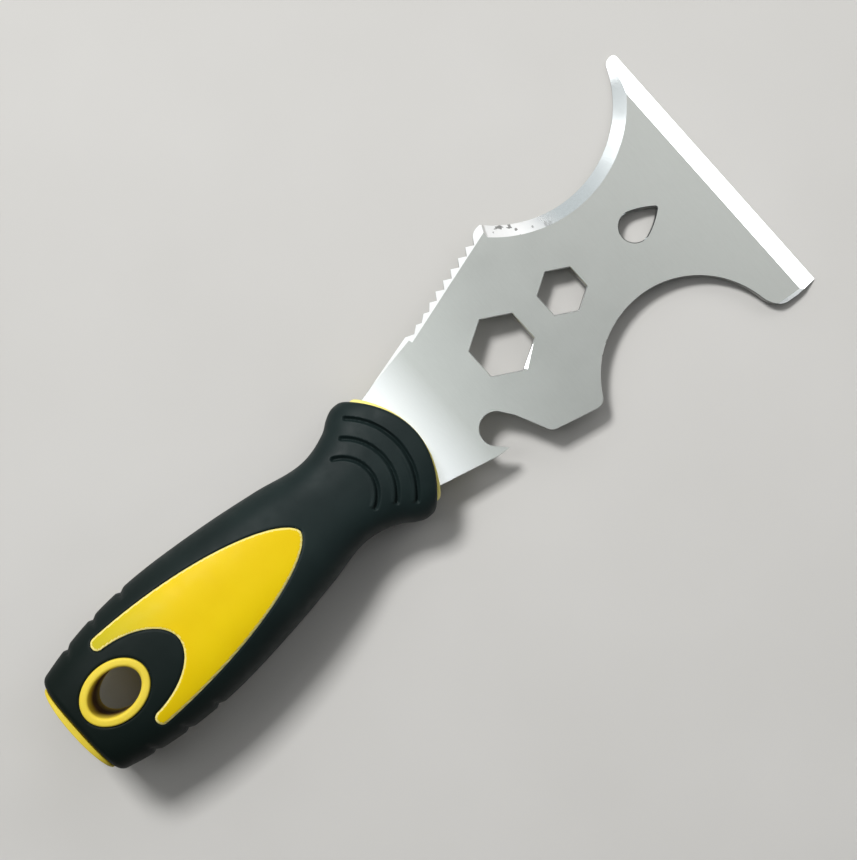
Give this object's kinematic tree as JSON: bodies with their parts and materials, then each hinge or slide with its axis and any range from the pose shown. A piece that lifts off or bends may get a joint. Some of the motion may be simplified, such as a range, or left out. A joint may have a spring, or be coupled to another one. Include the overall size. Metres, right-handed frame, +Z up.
{
  "type": "painters multi tool",
  "caption": "Flat stainless scraper blade with bevelled edge, roller arcs, saw teeth, spanner holes, nail puller and bottle opener, in a yellow handle with a black rubber grip and hang hole.",
  "frame": {"origin": "centre of the bounding box on the table that the tool lies on", "axes": "+X from the butt of the handle to the scraper edge, +Y to the side with the saw teeth and the large roller arc, +Z up. The tool lies on the belly of its handle and on its scraper edge, so the blade falls about 5 degrees towards +X."},
  "size_m": [0.1936, 0.07, 0.028],
  "materials": {
    "blade_steel": "fine satin grind, edge bevels ground bright",
    "grip_rubber": "matte with a fine moulded grain",
    "yellow_plastic": "satin moulded",
    "pin_steel": "turned"
  },
  "bodies": {
    "root": {"blade": "blade_steel", "grip_overmould": "grip_rubber", "core_top_half": "yellow_plastic", "core_bottom_half": "yellow_plastic", "hang_hole_sleeve": "yellow_plastic", "front_collar": "yellow_plastic", "butt_plate": "yellow_plastic", "tang_pin_front": "pin_steel", "tang_pin_rear": "pin_steel"}
  },
  "joints": []
}
